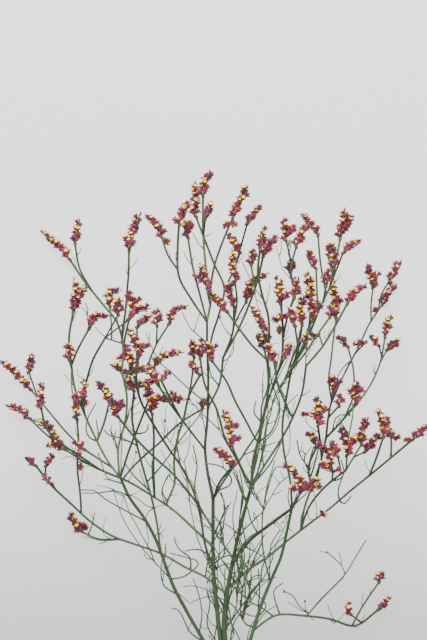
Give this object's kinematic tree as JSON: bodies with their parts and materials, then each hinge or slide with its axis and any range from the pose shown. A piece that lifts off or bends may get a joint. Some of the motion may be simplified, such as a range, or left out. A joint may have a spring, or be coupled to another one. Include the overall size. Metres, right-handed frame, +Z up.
{
  "type": "dried statice flowering stem",
  "caption": "Dried, richly forked flowering stem lying down, with wiry green branches and short arched spikes of papery carmine flowers, for vases and dried arrangements.",
  "frame": {"origin": "centre of the bounding box's bottom face, in the plane of the surface the stem lies on", "axes": "+Y from the cut end towards the flowers, +X to the right seen from above, +Z up"},
  "size_m": [0.4442, 0.633, 0.158],
  "materials": {
    "dried_stem": "dry, matt, finely ribbed olive green",
    "papery_flower": "dry, matt, papery carmine calyx"
  },
  "bodies": {
    "root": {"stem": "dried_stem", "head_01": "papery_flower", "head_02": "papery_flower", "head_03": "papery_flower", "head_04": "papery_flower", "head_05": "papery_flower", "head_06": "papery_flower", "head_07": "papery_flower", "head_08": "papery_flower", "head_09": "papery_flower", "head_10": "papery_flower", "head_11": "papery_flower", "head_12": "papery_flower", "head_13": "papery_flower", "head_14": "papery_flower", "head_15": "papery_flower", "head_16": "papery_flower", "head_17": "papery_flower", "head_18": "papery_flower", "head_19": "papery_flower", "head_20": "papery_flower", "head_21": "papery_flower", "head_22": "papery_flower", "head_23": "papery_flower", "head_24": "papery_flower", "head_25": "papery_flower", "head_26": "papery_flower", "head_27": "papery_flower", "head_28": "papery_flower", "head_29": "papery_flower", "head_30": "papery_flower", "head_31": "papery_flower", "head_32": "papery_flower", "head_33": "papery_flower", "head_34": "papery_flower", "head_35": "papery_flower", "head_36": "papery_flower", "head_37": "papery_flower", "head_38": "papery_flower", "head_39": "papery_flower", "head_40": "papery_flower", "head_41": "papery_flower", "head_42": "papery_flower", "head_43": "papery_flower", "head_44": "papery_flower", "head_45": "papery_flower", "head_46": "papery_flower", "head_47": "papery_flower", "head_48": "papery_flower", "head_49": "papery_flower", "head_50": "papery_flower", "head_51": "papery_flower", "head_52": "papery_flower", "head_53": "papery_flower", "head_54": "papery_flower", "head_55": "papery_flower", "head_56": "papery_flower", "head_57": "papery_flower", "head_58": "papery_flower", "head_59": "papery_flower"}
  },
  "joints": []
}
